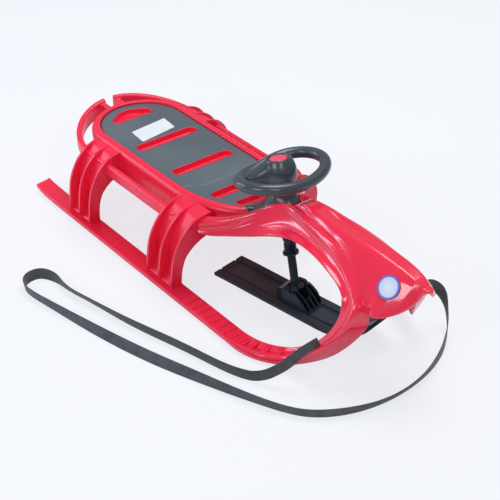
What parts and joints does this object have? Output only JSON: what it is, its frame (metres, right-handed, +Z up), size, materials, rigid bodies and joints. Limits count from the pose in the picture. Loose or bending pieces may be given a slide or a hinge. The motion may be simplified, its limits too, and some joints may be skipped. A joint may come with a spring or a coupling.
{
  "type": "steerable sled",
  "caption": "Moulded plastic sled with slatted oval seat pad, ribbed legs on runners, high arched nose, steering wheel on a column to a central ski, and a webbing pull strap.",
  "frame": {"origin": "centre of the bounding box of the rigid parts, on the floor the sled stands on", "axes": "+X towards the nose, +Y to the rider's left, +Z up"},
  "size_m": [0.965, 0.556, 0.2809],
  "materials": {
    "red_body": "glossy moulded polyethylene",
    "seat_grey": "fine grain moulded",
    "trim_grey": "satin moulded",
    "black_plastic": "satin moulded",
    "button_red": "glossy",
    "label_white": "printed film, left blank",
    "badge_blue": "glossy film, left blank",
    "steel": "rolled strip",
    "webbing": "woven webbing"
  },
  "bodies": {
    "sled": {"arch_left": "red_body", "arch_right": "red_body", "badge": "badge_blue", "bonnet": "red_body", "console": "trim_grey", "deck": "red_body", "grip_rail_left": "red_body", "grip_rail_right": "red_body", "middle_leg_left": "red_body", "middle_leg_right": "red_body", "pull_strap": "webbing", "rear_leg_left": "red_body", "rear_leg_right": "red_body", "runner_left": "red_body", "runner_right": "red_body", "seat_label": "label_white", "seat_pad": "seat_grey", "skirt_left": "red_body", "skirt_right": "red_body", "steel_rail_left": "steel", "steel_rail_right": "steel"},
    "steering": {"bellows": "black_plastic", "column": "black_plastic", "wheel": "trim_grey", "wheel_button": "button_red"},
    "ski": {"ski": "black_plastic", "ski_bracket": "black_plastic", "ski_pin": "steel"}
  },
  "joints": [
    {"name": "steer", "type": "hinge", "parent": "sled", "child": "steering", "pos_m": [0.1485, 0, 0.03], "axis": [-0.2147, 0, 0.9767], "range_deg": [-23, 4]},
    {"name": "ski_pitch", "type": "hinge", "parent": "steering", "child": "ski", "pos_m": [0.1554, 0.00116, 0.038], "axis": [-0.165, 0.9863, 0], "range_deg": [-8, 8]}
  ]
}
